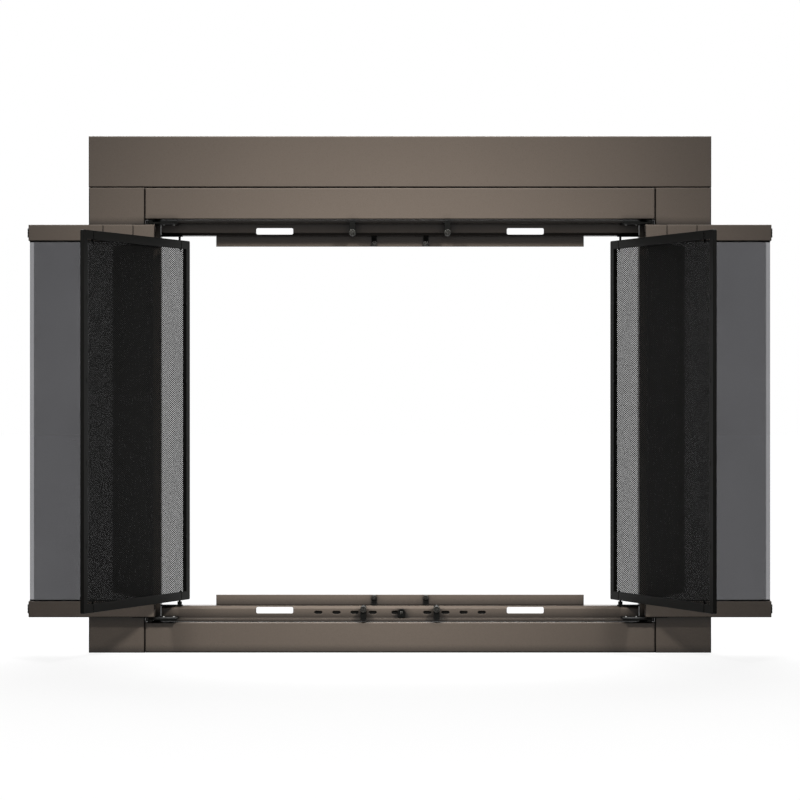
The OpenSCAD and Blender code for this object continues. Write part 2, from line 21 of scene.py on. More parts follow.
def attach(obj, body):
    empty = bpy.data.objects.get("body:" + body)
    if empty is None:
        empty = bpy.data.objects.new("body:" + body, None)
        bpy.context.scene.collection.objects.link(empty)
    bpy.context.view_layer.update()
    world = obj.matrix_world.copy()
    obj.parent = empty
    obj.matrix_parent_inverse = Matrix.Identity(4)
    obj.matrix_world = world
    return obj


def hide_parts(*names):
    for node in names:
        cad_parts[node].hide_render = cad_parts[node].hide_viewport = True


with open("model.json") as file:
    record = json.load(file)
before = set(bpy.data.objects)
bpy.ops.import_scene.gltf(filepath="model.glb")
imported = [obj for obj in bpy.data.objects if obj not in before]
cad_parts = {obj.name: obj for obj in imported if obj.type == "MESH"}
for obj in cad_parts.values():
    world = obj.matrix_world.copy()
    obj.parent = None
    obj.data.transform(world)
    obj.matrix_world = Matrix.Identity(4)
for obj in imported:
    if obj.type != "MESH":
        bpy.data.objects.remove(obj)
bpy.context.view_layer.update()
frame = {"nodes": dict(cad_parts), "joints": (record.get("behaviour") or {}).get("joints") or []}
LOG = logging.getLogger("glass_door")

Pair = tuple[float, float]
Triple = tuple[float, float, float]
Colour = Triple
Socket = bpy.types.NodeSocket
Verts = list[bmesh.types.BMVert]
EdgeTest = Callable[[bmesh.types.BMEdge], bool]
PointTest = Callable[[Vector], bool]
Value = Union[float, Sequence[float], Socket]

MM = 0.001
FACE = -12.5 * MM  # Y of the outer frame's face
MIDDLE_Z = 354.45 * MM  # middle height of the opening
NEAR = 1e-6  # coordinates less than this apart are one
MERGE = 1e-7  # vertices less than this apart become one
UP = Vector((0.0, 0.0, 1.0))
BACK = Vector((0.0, 1.0, 0.0))
ALONG = Vector((1.0, 0.0, 0.0))


class Side(Enum):
    """Which half of the door set a piece belongs to."""

    LEFT = "left"
    RIGHT = "right"

    @property
    def mirror(self) -> Matrix:
        """Turns the left half's coordinates into this half's."""
        return Matrix.Diagonal((1.0 if self is Side.LEFT else -1.0, 1.0, 1.0, 1.0))


class End(Enum):
    """Whether a piece sits at the foot of the opening or hangs at its top."""

    BOTTOM = "bottom"
    TOP = "top"

    @property
    def flip(self) -> Matrix:
        """Turns a piece at the foot over about the middle height of the opening.

        Returns:
            The matrix, which leaves a piece at the foot where it is.
        """
        if self is End.BOTTOM:
            return Matrix.Identity(4)
        return Matrix.Translation(UP * 2 * MIDDLE_Z) @ Matrix.Diagonal((1.0, 1.0, -1.0, 1.0))


def four_corners() -> list[Matrix]:
    """Takes a piece at the left foot of the opening to each of the four corners."""
    return [side.mirror @ end.flip for end in End for side in Side]


def depth(value: float) -> float:
    """Y of a point that lies value millimetres behind the frame's face."""
    return FACE + value * MM


def point(x: float, behind: float, z: float) -> Vector:
    """The point at X, depth and Z in millimetres."""
    return Vector((x * MM, depth(behind), z * MM))


def metres(outline: Sequence[Pair]) -> list[Pair]:
    """An outline in millimetres, turned into metres."""
    return [(along * MM, across * MM) for along, across in outline]


# -------- finishes


class Graph:
    """A short way to write the node tree of one material."""

    noise_range: Pair = (0.3, 0.7)
    # corner_power and corner_samples set the painted corner shade; the bend gains, tilt, flat and bent
    # set the painted highlight and shade on bends
    corner_power: float = 1.8
    corner_samples: int = 10
    bend_samples: int = 8
    edge_samples: int = 6
    painted_bend_shade_gain: float = 0.16
    painted_bend_highlight_gain: float = 1.45
    upper_tilt: float = 0.25
    flat: float = 0.999
    bent: float = 0.93

    def __init__(self, name: str) -> None:
        """Starts an empty tree.

        Args:
            name: the material's name.
        """
        self.material = bpy.data.materials.new(name)
        self.material.use_nodes = True
        self.tree = self.material.node_tree
        self.tree.nodes.clear()
        self.output = self.tree.nodes.new("ShaderNodeOutputMaterial")
        self.place = self.add("ShaderNodeTexCoord").outputs["Object"]

    def add(self, kind: str, **sockets: Value) -> bpy.types.Node:
        """Adds a node.

        Args:
            kind: the node's type.
            sockets: values or links by socket name, with _ for a space.

        Returns:
            The new node.
        """
        node = self.tree.nodes.new(kind)
        for key, value in sockets.items():
            self.put(node.inputs[key.replace("_", " ")], value)
        return node

    def put(self, socket: Socket, value: Value) -> None:
        """Sets a socket's value, or links it.

        Args:
            socket: the input.
            value: the value, or the output that it is linked to.
        """
        if isinstance(value, Socket):
            self.tree.links.new(value, socket)
        elif socket.type == "RGBA":
            socket.default_value = (*value, 1.0)
        else:
            socket.default_value = value

    def noise(self, scale: float, detail: float = 2.0) -> Socket:
        """Noise in object space: its factor, around 0.5."""
        node = self.add("ShaderNodeTexNoise", Vector=self.place, Scale=scale, Detail=detail)
        return node.outputs["Fac"]

    def stretched(self, stretch: Triple, scale: float) -> Socket:
        """Noise drawn out along an axis, as brush marks are."""
        turned = self.add("ShaderNodeMapping", Vector=self.place, Scale=stretch)
        return self.add("ShaderNodeTexNoise", Vector=turned.outputs[0], Scale=scale).outputs["Fac"]

    def ranged(self, value: Socket, low: float, high: float, first: float, last: float) -> Socket:
        """Maps the range from low to high to the one from first to last, and stops at its ends."""
        ends = {"From_Min": low, "From_Max": high, "To_Min": first, "To_Max": last}
        return self.add("ShaderNodeMapRange", Value=value, **ends).outputs["Result"]

    def spread(self, factor: Socket, low: float, high: float) -> Socket:
        """Maps a noise factor's usual range to low and high."""
        return self.ranged(factor, *self.noise_range, low, high)

    def blend(self, share: Value, one: Value, other: Value) -> Socket:
        """One number, with a share of another in its place."""
        return self.add("ShaderNodeMix", Factor=share, A=one, B=other).outputs["Result"]

    def tones(self, factor: Socket, dark: Colour, light: Colour) -> Socket:
        """A colour between two others.

        Args:
            factor: the noise factor that it goes by.
            dark: the colour where the factor is low.
            light: the colour where the factor is high.

        Returns:
            The colour.
        """
        node = self.add("ShaderNodeValToRGB", Fac=factor)
        first, last = node.color_ramp.elements
        first.position, last.position = self.noise_range
        first.color, last.color = (*dark, 1.0), (*light, 1.0)
        return node.outputs["Color"]

    def scaled(self, colour: Socket, gain: Socket) -> Socket:
        """Makes a colour lighter or darker.

        Args:
            colour: the colour.
            gain: what it is multiplied by.

        Returns:
            The new colour.
        """
        node = self.add("ShaderNodeVectorMath", Vector=colour)
        node.operation = "SCALE"
        self.put(node.inputs["Scale"], gain)
        return node.outputs[0]

    def maths(self, operation: str, *values: Value) -> Socket:
        """Works out one operation.

        Args:
            operation: its name.
            values: the one or two values that it takes.

        Returns:
            The result.
        """
        node = self.add("ShaderNodeMath")
        node.operation = operation
        for socket, value in zip(node.inputs, values):
            self.put(socket, value)
        return node.outputs[0]

    def softened(self, radius: float, samples: int) -> Socket:
        """The normal, turned smoothly over sharp edges.

        Args:
            radius: how far from an edge it turns, in metres.
            samples: how finely it is worked out.

        Returns:
            The normal.
        """
        node = self.add("ShaderNodeBevel", Radius=radius)
        node.samples = samples
        return node.outputs["Normal"]

    def painted_corner_shade(self, reach: float) -> Socket:
        """Painted shade: how much darker corners and recesses are drawn, where less light reaches them.

        Args:
            reach: how far from a corner it darkens, in metres.

        Returns:
            A gain: 1 in the open, and less in corners.
        """
        corner = self.add("ShaderNodeAmbientOcclusion", Distance=reach)
        corner.samples = self.corner_samples
        return self.maths("POWER", corner.outputs["AO"], self.corner_power)

    def bends(self, reach: float) -> Socket:
        """Painted highlight along upper bends, and painted shade along the lower and outer ones.

        Args:
            reach: how far from a sharp edge it shows, in metres.

        Returns:
            A gain: 1 on flat faces, more on upper bends and less on the others.
        """
        local = self.add("ShaderNodeVectorTransform", Vector=self.softened(reach, self.bend_samples))
        local.vector_type, local.convert_from, local.convert_to = "NORMAL", "WORLD", "OBJECT"
        normal = self.add("ShaderNodeSeparateXYZ", Vector=local.outputs[0]).outputs
        x, y, z = (self.maths("ABSOLUTE", part) for part in normal)
        largest = self.maths("MAXIMUM", self.maths("MAXIMUM", x, y), z)
        gain = self.ranged(normal["Z"], 0.0, self.upper_tilt, self.painted_bend_shade_gain, self.painted_bend_highlight_gain)
        return self.blend(self.ranged(largest, self.flat, self.bent, 0.0, 1.0), 1.0, gain)

    def relief(self, height: Socket, distance: float, rounding: float = 0.0) -> Socket:
        """A bumped normal from a height factor.

        Args:
            height: the height factor.
            distance: its depth, in metres.
            rounding: the radius, in metres, at which sharp edges catch the light.

        Returns:
            The normal, for a shader's Normal socket.
        """
        bump = self.add("ShaderNodeBump", Height=height, Distance=distance, Strength=1.0)
        if rounding > 0:
            self.put(bump.inputs["Normal"], self.softened(rounding, self.edge_samples))
        return bump.outputs["Normal"]

    def surface(self, shader: bpy.types.Node) -> bpy.types.Material:
        """Ends the tree with a shader and returns the material."""
        self.tree.links.new(shader.outputs[0], self.output.inputs["Surface"])
        return self.material


@dataclass(frozen=True)
class Coat:
    """A sprayed and baked coat: close tones in a fine grain, slow drift, and a fine relief.

    shade and edge are how far its painted corner shade and its painted bend light (painted highlight on
    upper bends, painted shade on the others) reach, and rounding is the radius at which its sharp edges
    catch the light. At zero they do nothing.
    """

    name: str
    dark: Colour
    light: Colour
    roughness: Pair
    specular: float
    grain: float = 900.0
    grain_detail: float = 3.0
    drift: float = 4.0
    drift_share: float = 0.3
    relief: float = 0.02 * MM
    shade: float = 0.0
    edge: float = 0.0
    rounding: float = 0.0

    def make(self) -> bpy.types.Material:
        """Builds the material.

        Returns:
            The material.
        """
        graph = Graph(self.name)
        grain = graph.noise(self.grain, self.grain_detail)
        mottle = graph.blend(self.drift_share, grain, graph.noise(self.drift))
        colour = graph.tones(mottle, self.dark, self.light)
        specular: Value = self.specular
        # painted shade in corners and painted highlight and shade on bends scale the colour; the bend
        # light also scales the specular level
        if self.shade > 0:
            bends = graph.bends(self.edge)
            colour = graph.scaled(colour, graph.maths("MULTIPLY", bends, graph.painted_corner_shade(self.shade)))
            specular = graph.maths("MULTIPLY", bends, self.specular)
        shader = graph.add(
            "ShaderNodeBsdfPrincipled",
            Base_Color=colour,
            Roughness=graph.spread(grain, *self.roughness),
            Specular_IOR_Level=specular,
            Normal=graph.relief(grain, self.relief, self.rounding),
        )
        return graph.surface(shader)


@dataclass(frozen=True)
class Metal:
    """Bare or plated metal with fine drawn marks."""

    name: str
    dark: Colour
    light: Colour
    roughness: Pair
    stretch: Triple = (1.0, 1.0, 0.06)
    marks: float = 2500.0
    mottle: float = 600.0
    relief: float = 0.004 * MM

    def make(self) -> bpy.types.Material:
        """Builds the material.

        Returns:
            The material.
        """
        graph = Graph(self.name)
        marks = graph.stretched(self.stretch, self.marks)
        shader = graph.add(
            "ShaderNodeBsdfPrincipled",
            Base_Color=graph.tones(graph.noise(self.mottle), self.dark, self.light),
            Roughness=graph.spread(marks, *self.roughness),
            Metallic=1.0,
            Normal=graph.relief(marks, self.relief),
        )
        return graph.surface(shader)


@dataclass(frozen=True)
class SmokedGlass:
    """Tempered glass tinted through, with a slow drift in its tint."""

    name: str
    dark: Colour
    light: Colour
    drift: float = 9.0
    index: float = 1.48

    def make(self) -> bpy.types.Material:
        """Builds the material.

        Returns:
            The material.
        """
        graph = Graph(self.name)
        shader = graph.add(
            "ShaderNodeBsdfPrincipled",
            Base_Color=graph.tones(graph.noise(self.drift), self.dark, self.light),
            Roughness=0.0,
            IOR=self.index,
            Transmission_Weight=1.0,
        )
        return graph.surface(shader)


FINISHES = {
    "bronze": Coat(
        "bronze_paint", (0.122, 0.097, 0.077), (0.154, 0.123, 0.098), (0.27, 0.36), 0.3,
        # shade gives the painted corner shade, edge the painted highlight and shade along bends
        shade=14 * MM, edge=2.2 * MM, rounding=1.1 * MM,
    ),
    "satin_black": Coat(
        "satin_black_paint", (0.006, 0.006, 0.0055), (0.012, 0.012, 0.011), (0.38, 0.52), 0.04,
        rounding=0.5 * MM,
    ),
    "black_mesh": Coat(
        "mesh_paint", (0.005, 0.005, 0.005), (0.012, 0.012, 0.011), (0.5, 0.65), 0.03
    ),
    "smoked_glass": SmokedGlass(
        "smoked_glass_tint", (0.225, 0.225, 0.235), (0.245, 0.245, 0.255)
    ),
    "gasket": Coat(
        "glazing_rubber", (0.004, 0.004, 0.004), (0.009, 0.009, 0.009), (0.7, 0.85), 0.05
    ),
    "steel": Metal("zinc_plate", (0.13, 0.13, 0.125), (0.26, 0.26, 0.25), (0.3, 0.46)),
    "magnet": Metal(
        "nickel_plate", (0.008, 0.008, 0.007), (0.09, 0.087, 0.08), (0.2, 0.45), (0.1, 1.0, 1.0)
    ),
}


class Finishes:
    """The finish of each of the record's material slots, made once."""

    def __init__(self) -> None:
        """Makes every material."""
        self.by_slot = {slot: finish.make() for slot, finish in FINISHES.items()}

    def dress_cad(self) -> None:
        """Gives every CAD node the finish of its own slot."""
        for node in frame["nodes"].values():
            for slot in node.material_slots:
                slot.material = self.by_slot[slot.material.name.split(".")[0]]


# -------- shapes


class Shape:
    """A mesh under construction, made of closed solids by bmesh operators."""

    sharp: float = math.radians(40.0)
    smooth: float = math.radians(35.0)
    arch_steps: int = 12

    def __init__(self) -> None:
        """Starts with nothing."""
        self.mesh = bmesh.new()

    def round_off(self, edges: Iterable[bmesh.types.BMEdge], radius: float, segments: int) -> Verts:
        """Rounds edges.

        Args:
            edges: the edges.
            radius: the radius.
            segments: its steps.

        Returns:
            The vertices of the faces that this makes.
        """
        made = bmesh.ops.bevel(
            self.mesh,
            geom=list(edges),
            offset=radius,
            segments=segments,
            affect="EDGES",
            profile=0.5,
            material=-1,
        )
        return list({vert for face in made["faces"] for vert in face.verts})

    def soften(self, radius: float, segments: int = 2, test: Optional[EdgeTest] = None) -> None:
        """Rounds the edges that pass a test.

        Args:
            radius: the radius.
            segments: its steps.
            test: which edges; every sharp edge without it.
        """
        chosen = test or (lambda edge: edge.calc_face_angle(0.0) > self.sharp)
        self.round_off([edge for edge in self.mesh.edges if chosen(edge)], radius, segments)

    def block(self, low: Vector, high: Vector, bevel: float, segments: int = 2) -> Verts:
        """Adds a box with rounded edges.

        Args:
            low: its low corner.
            high: its high corner.
            bevel: the radius of its edges.
            segments: the steps of that radius.

        Returns:
            The box's vertices.
        """
        place = Matrix.Translation((low + high) / 2) @ Matrix.Diagonal((*(high - low), 1.0))
        verts = bmesh.ops.create_cube(self.mesh, size=1.0, matrix=place)["verts"]
        return self.round_off({edge for vert in verts for edge in vert.link_edges}, bevel, segments)

    def turned(self, outline: Sequence[Pair], centre: Vector, axis: Vector, steps: int) -> Verts:
        """Adds a turned solid.

        Args:
            outline: (distance along the axis, radius) pairs, from pole to pole.
            centre: the point that distances are measured from.
            axis: the direction of the axis.
            steps: the number of faces around it.

        Returns:
            The solid's vertices.
        """
        before = set(self.mesh.verts)
        across = axis.orthogonal().normalized()
        verts = [self.mesh.verts.new(centre + axis * far + across * radius) for far, radius in outline]
        edges = [self.mesh.edges.new(pair) for pair in zip(verts, verts[1:])]
        bmesh.ops.spin(
            self.mesh,
            geom=verts + edges,
            cent=centre,
            axis=axis,
            dvec=(0.0, 0.0, 0.0),
            angle=math.tau,
            steps=steps,
            use_merge=True,
        )
        return [vert for vert in self.mesh.verts if vert not in before]

    def drawn(self, outline: Sequence[Sequence[float]], way: Vector) -> Verts:
        """Adds a prism.

        Args:
            outline: the corners of its end face.
            way: the offset to the other end.

        Returns:
            The prism's vertices.
        """
        verts = [self.mesh.verts.new(corner) for corner in outline]
        face = self.mesh.faces.new(verts)
        pulled = bmesh.ops.extrude_face_region(self.mesh, geom=[face], use_keep_orig=True)["geom"]
        moved = [item for item in pulled if isinstance(item, bmesh.types.BMVert)]
        bmesh.ops.translate(self.mesh, verts=moved, vec=way)
        return verts + moved

    def arch(self, x: float, half: float, low: float, top: float, reach: Pair, bevel: float) -> Verts:
        """Adds an upright with a round head, with its edges rounded; all in millimetres.

        Args:
            x: its middle.
            half: half its width, and the radius of its head.
            low: where it stands.
            top: the height of the head's centre.
            reach: the depths of its front and back.
            bevel: the radius of its edges.

        Returns:
            Its vertices.
        """
        turns = [math.pi * step / self.arch_steps for step in range(self.arch_steps + 1)]
        outline = [(x + half, low)]
        outline += [(x + half * math.cos(turn), top + half * math.sin(turn)) for turn in turns]
        outline.append((x - half, low))
        before = set(self.mesh.verts)
        corners = [point(along, reach[0], z) for along, z in outline]
        made = self.drawn(corners, BACK * (reach[1] - reach[0]) * MM)
        edges = {edge for vert in made for edge in vert.link_edges}
        self.round_off([edge for edge in edges if self.lies_across(edge)], bevel * MM, segments=2)
        return [vert for vert in self.mesh.verts if vert not in before]

    @staticmethod
    def lies_across(edge: bmesh.types.BMEdge) -> bool:
        """Whether an edge keeps one depth from end to end."""
        return abs(edge.verts[0].co.y - edge.verts[1].co.y) < NEAR

    def cut(self, at: Vector, normal: Vector, clear: bool = False) -> list[bmesh.types.BMEdge]:
        """Adds edges where a plane crosses the shape.

        Args:
            at: a point of the plane.
            normal: its normal.
            clear: whether what lies past the plane is taken away.

        Returns:
            The new edges.
        """
        made = bmesh.ops.bisect_plane(
            self.mesh,
            geom=self.mesh.verts[:] + self.mesh.edges[:] + self.mesh.faces[:],
            plane_co=at,
            plane_no=normal,
            clear_outer=clear,
        )
        return [item for item in made["geom_cut"] if isinstance(item, bmesh.types.BMEdge)]

    def sink(self, test: PointTest, depth_in: float) -> None:
        """Presses the faces whose middles pass a test straight in.

        Args:
            test: which faces.
            depth_in: how far in they go.
        """
        bmesh.ops.recalc_face_normals(self.mesh, faces=self.mesh.faces[:])
        faces = [face for face in self.mesh.faces if test(face.calc_center_median())]
        bmesh.ops.inset_region(self.mesh, faces=faces, use_boundary=True, thickness=0.0, depth=-depth_in)

    def place(self, matrix: Matrix, verts: Optional[Iterable[bmesh.types.BMVert]] = None) -> None:
        """Moves vertices, or the whole shape, by a matrix."""
        bmesh.ops.transform(self.mesh, matrix=matrix, verts=list(verts or self.mesh.verts))

    def broad_normals(self) -> list[Vector]:
        """Corner normals that follow the broadest faces, so that flat faces shade flat.

        Returns:
            A normal for every corner of every face, in order.
        """
        made = []
        areas = {face: face.calc_area() ** 2 for face in self.mesh.faces}
        for face in self.mesh.faces:
            for loop in face.loops:
                total = face.normal * areas[face]
                for other in loop.vert.link_faces:
                    if other is not face and face.normal.angle(other.normal, math.pi) < self.smooth:
                        total = total + other.normal * areas[other]
                made.append(total.normalized() if total.length else face.normal.copy())
        return made

    def piece(
        self, name: str, body: str, slot: str, finishes: Finishes, replaces: Sequence[str] = ()
    ) -> None:
        """Ends the shape as a piece at the origin, riding on a body.

        Args:
            name: the piece's name.
            body: the CAD body that it moves with.
            slot: the record's material slot.
            finishes: where its material is.
            replaces: the CAD nodes that it stands for.
        """
        bmesh.ops.remove_doubles(self.mesh, verts=self.mesh.verts[:], dist=MERGE)
        bmesh.ops.recalc_face_normals(self.mesh, faces=self.mesh.faces[:])
        for face in self.mesh.faces:
            face.smooth = True
        for edge in self.mesh.edges:
            edge.smooth = edge.calc_face_angle(math.pi) < self.smooth
        normals = self.broad_normals()
        data = bpy.data.meshes.new(name)
        self.mesh.to_mesh(data)
        self.mesh.free()
        data.normals_split_custom_set(normals)
        data.materials.append(finishes.by_slot[slot])
        made = bpy.data.objects.new(name, data)
        bpy.context.scene.collection.objects.link(made)
        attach(made, body)
        if replaces:
            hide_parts(*replaces)
        LOG.info("%s rides on %s: %d faces", name, body, len(data.polygons))


# -------- mesh gates


@dataclass
class MeshGate:
    """One mesh gate, drawn closed with its pivot axis at X 0, Y 0 and its length along +X."""

    side: Side
    finishes: Finishes
    hinge_end: float = -26.0 * MM
    free_end: float = 338.3 * MM
    front: float = -0.5 * MM
    back: float = 5.5 * MM
    low: float = 77.7 * MM
    high: float = 632.5 * MM
    bar: float = 13.0 * MM
    corner: float = 2.5 * MM
    cell_length: float = 6.6 * MM
    cell_height: float = 3.05 * MM
    strand: float = 1.12 * MM
    strand_depth: float = 0.5 * MM
    strand_lift: float = 0.06 * MM
    strand_spare: float = 4.0 * MM
    end_sides: int = 8
    mesh_front: float = 0.3 * MM
    tuck: float = 2.0 * MM
    edge: float = 0.6 * MM
    joint: float = 31.0 * MM
    seam: float = 1.2 * MM
    seam_depth: float = 0.8 * MM
    notch_depth: float = 3.4 * MM
    tabs: int = 4
    tab_pitch: float = 120.0 * MM
    tab_r: float = 4.0 * MM
    tab_t: float = 1.0 * MM
    tab_in: float = 1.5 * MM

    @property
    def hung(self) -> Matrix:
        """Where the open gate stands, from the joint that the record gives it.

        Returns:
            The matrix that takes the closed gate there.
        """
        joint = next(j for j in frame["joints"] if j["name"] == f"{self.side.value}_gate_pivot")
        at = Vector(joint["pos_m"])
        at.x = -abs(at.x)
        turn = Matrix.Rotation(-math.radians(joint["range_deg"][1]), 4, "Z")
        return self.side.mirror @ Matrix.Translation(at) @ turn

    def build(self) -> None:
        """Builds and places the gate's pieces."""
        self.weave()
        self.bars()

    def weave(self) -> None:
        """Expanded metal: two families of flat strands that cross in long low diamonds.

        The strands are made too long, cut off at the edges of the mesh and closed there.
        """
        shape = Shape()
        x0, x1 = self.hinge_end + self.bar - self.tuck, self.free_end - self.bar + self.tuck
        z0, z1 = self.low + self.bar - self.tuck, self.high - self.bar + self.tuck
        slope = math.atan2(self.cell_height, self.cell_length)
        rise = (x1 - x0) * math.tan(slope)
        count = math.ceil((z1 - z0 + rise) / self.cell_height)
        reach = (x1 - x0) / math.cos(slope) + self.strand_spare
        size = Matrix.Diagonal((reach, self.strand_depth, self.strand, 1.0))
        for family, lift in ((1, 0.0), (-1, self.strand_lift)):
            front = self.mesh_front + lift
            middle = Vector(((x0 + x1) / 2, front + self.strand_depth / 2, (z0 + z1) / 2))
            turn = Matrix.Rotation(-family * slope, 4, "Y")
            for step in range(count):
                shift = UP * (step - (count - 1) / 2) * self.cell_height
                place = Matrix.Translation(middle + shift) @ turn @ size
                bmesh.ops.create_cube(shape.mesh, size=1.0, matrix=place)
        low, high = Vector((x0, 0, z0)), Vector((x1, 0, z1))
        for corner, normal in ((low, -ALONG), (low, -UP), (high, ALONG), (high, UP)):
            rim = shape.cut(corner, normal, clear=True)
            bmesh.ops.holes_fill(shape.mesh, edges=rim, sides=self.end_sides)
        shape.place(self.hung)
        self.done(shape, "mesh", "black_mesh", "gate_mesh")

    def done(self, shape: Shape, name: str, slot: str, node: str) -> None:
        """Ends a shape as a piece of the gate that stands for a CAD node."""
        side = self.side.value
        shape.piece(f"{side}_{name}", f"{side}_gate", slot, self.finishes, [f"{side}_{node}"])

    def bars(self) -> None:
        """The frame: four mitred bars, with jointed corners and tabs that hold the mesh."""
        shape = Shape()
        one, other, low, high = self.hinge_end, self.free_end, self.low, self.high
        corners = ((one, low), (other, low), (other, high), (one, high))
        sheet = shape.mesh.faces.new([shape.mesh.verts.new((x, self.front, z)) for x, z in corners])
        sheet.normal_update()
        bmesh.ops.inset_region(
            shape.mesh, faces=[sheet], thickness=self.bar, use_boundary=True, use_even_offset=True
        )
        bmesh.ops.delete(shape.mesh, geom=[sheet], context="FACES")
        pulled = bmesh.ops.extrude_face_region(shape.mesh, geom=shape.mesh.faces[:])
        moved = [v for v in pulled["geom"] if isinstance(v, bmesh.types.BMVert)]
        bmesh.ops.translate(shape.mesh, verts=moved, vec=BACK * (self.back - self.front))
        bmesh.ops.recalc_face_normals(shape.mesh, faces=shape.mesh.faces[:])
        shape.soften(self.corner, segments=4, test=self.is_outer_corner)
        for at in (self.free_end - self.joint, self.hinge_end + self.joint):
            self.corner_joint(shape, at)
        shape.soften(self.edge)
        for x in (self.hinge_end + self.bar - self.tab_in, self.free_end - self.bar + self.tab_in):
            for step in range(self.tabs):
                z = (self.low + self.high) / 2 + (step - (self.tabs - 1) / 2) * self.tab_pitch
                centre = Vector((x, self.back - self.edge, z))
                shape.turned(self.tab_outline(), centre, BACK, steps=20)
        shape.place(self.hung)
        self.done(shape, "gate_bars", "satin_black", "gate_frame")

    def at_end(self, at: Vector, within: float) -> bool:
        """Whether a point lies near the frame's foot or its top."""
        return min(abs(at.z - self.low), abs(at.z - self.high)) < within

    def is_outer_corner(self, edge: bmesh.types.BMEdge) -> bool:
        """Whether an edge is one of the four outer corners of the frame.

        Args:
            edge: the edge.

        Returns:
            True if it is.
        """
        one, two = (vert.co for vert in edge.verts)
        at_side = min(abs(one.x - self.hinge_end), abs(one.x - self.free_end)) < NEAR
        return at_side and self.at_end(one, NEAR) and abs(one.y - two.y) > NEAR

    def corner_joint(self, shape: Shape, at: float) -> None:
        """The seam where a corner piece plugs into the long bars.

        Args:
            shape: the frame.
            at: where the seam lies along the gate.
        """
        half = self.seam / 2
        for x in (at - half, at + half):
            shape.cut(ALONG * x, ALONG)
        shape.sink(lambda c: abs(c.x - at) < half and self.on_outside(c), self.seam_depth)
        shape.sink(lambda c: abs(c.x - at) < half and self.at_end(c, MM), self.notch_depth)

    def on_outside(self, centre: Vector) -> bool:
        """Whether a face's middle lies on the frame's back or on its outer edge."""
        return abs(centre.y - self.back) < NEAR or self.at_end(centre, NEAR)

    def tab_outline(self) -> list[Pair]:
        """A thin round tab with a softened rim.

        Returns:
            Its outline, for a turned solid.
        """
        rim, r, t = self.tab_t / 3, self.tab_r, self.tab_t
        return [(0.0, 0.0), (0.0, r - rim), (rim, r), (t - rim, r), (t, r - rim), (t, 0.0)]


# -------- glass panels


class Leaf(Enum):
    """Which panel of a folding pair: its name, rail depth and pane setback in millimetres."""

    HINGED = ("hinged", -10.0, 0.5)
    LEAD = ("lead", -20.5, 7.8)

    @property
    def front(self) -> float:
        """Depth of the rails' front."""
        return self.value[1]

    @property
    def setback(self) -> float:
        """How far the pane stays inside the rails' folded end."""
        return self.value[2]


@dataclass
class GlassPanel:
    """One glass panel, folded flat beside the opening and drawn for the left half."""

    side: Side
    leaf: Leaf
    finishes: Finishes
    end: float = -565.65
    free: float = -373.9
    low: float = 55.5
    rail: float = 24.4
    thick: float = 9.0
    groove: float = 14.0
    glass: float = 4.0
    wall: float = 1.5
    seat: float = 1.0
    bend: float = 1.1
    hem: float = 0.35
    free_setback: float = 3.0
    polish: float = 0.5
    lip: float = 1.2
    lip_inset: float = 1.0
    seams: Pair = (-452.2, -406.5)
    seam: float = 0.9
    seam_depth: float = 0.5

    @property
    def body(self) -> str:
        """The CAD body that the panel's pieces ride on."""
        return f"{self.side.value}_{self.leaf.value[0]}_panel"

    def build(self) -> None:
        """Builds the panel's rails and its pane."""
        for end in End:
            self.channel(end)
        self.pane()

    def done(self, shape: Shape, name: str, slot: str, node: str) -> None:
        """Ends a shape as a piece of the panel that stands for a CAD node."""
        node = f"{self.side.value}_{self.leaf.value[0]}_{node}"
        shape.piece(f"{self.body}_{name}", self.body, slot, self.finishes, [node])

    def channel(self, end: End) -> None:
        """A rail: sheet folded round the pane's edge, with soft bends and square cut ends.

        Args:
            end: which of the two rails.
        """
        shape = Shape()
        front, back = depth(self.leaf.front), depth(self.leaf.front + self.thick)
        low, high = self.low * MM, (self.low + self.rail) * MM
        floor, wall = high - self.groove * MM, self.wall * MM
        outline = [(front, low), (back, low), (back, high), (back - wall, high)]
        outline += [(back - wall, floor), (front + wall, floor), (front + wall, high), (front, high)]
        shape.drawn([(self.end * MM, y, z) for y, z in outline], ALONG * (self.free - self.end) * MM)
        shape.soften(self.bend * MM, segments=4, test=lambda edge: self.runs_at(edge, low))
        shape.soften(self.hem * MM, test=lambda edge: self.runs_at(edge, high))
        if self.leaf is Leaf.LEAD and end is End.TOP:
            for x in self.seams:
                self.scribe(shape, x * MM, front)
        if self.leaf is Leaf.LEAD:
            inset = self.lip_inset * MM
            shape.block(
                Vector(((self.free - self.lip) * MM, front + inset, low - self.lip * MM)),
                Vector((self.free * MM, back - inset, low + self.hem * MM)),
                self.hem * MM,
            )
        shape.place(self.side.mirror @ end.flip)
        self.done(shape, f"{end.value}_channel", "bronze", f"{end.value}_rail")

    @staticmethod
    def runs_at(edge: bmesh.types.BMEdge, height: float) -> bool:
        """Whether an edge runs along the rail at a height."""
        one, two = (vert.co for vert in edge.verts)
        return max(abs(one.z - height), abs(two.z - height)) < NEAR and abs(one.x - two.x) > MM

    def scribe(self, shape: Shape, at: float, front: float) -> None:
        """A seam across the rail's front.

        Args:
            shape: the rail.
            at: where the seam lies along it.
            front: Y of the rail's front.
        """
        half = self.seam * MM / 2
        for x in (at - half, at + half):
            shape.cut(ALONG * x, ALONG)
        shape.sink(lambda c: abs(c.x - at) < half and abs(c.y - front) < NEAR, self.seam_depth * MM)

    def pane(self) -> None:
        """The pane, with polished edges, down in both rails' gaskets."""
        shape = Shape()
        sunk = self.low + self.rail - self.groove + self.seat
        front = self.leaf.front + (self.thick - self.glass) / 2
        low = point(self.end + self.leaf.setback, front, sunk)
        high = point(self.free - self.free_setback, front + self.glass, 0.0)
        high.z = 2 * MIDDLE_Z - sunk * MM
        shape.block(low, high, self.polish * MM, segments=1)
        shape.place(self.side.mirror)
        self.done(shape, "glass", "smoked_glass", "pane")


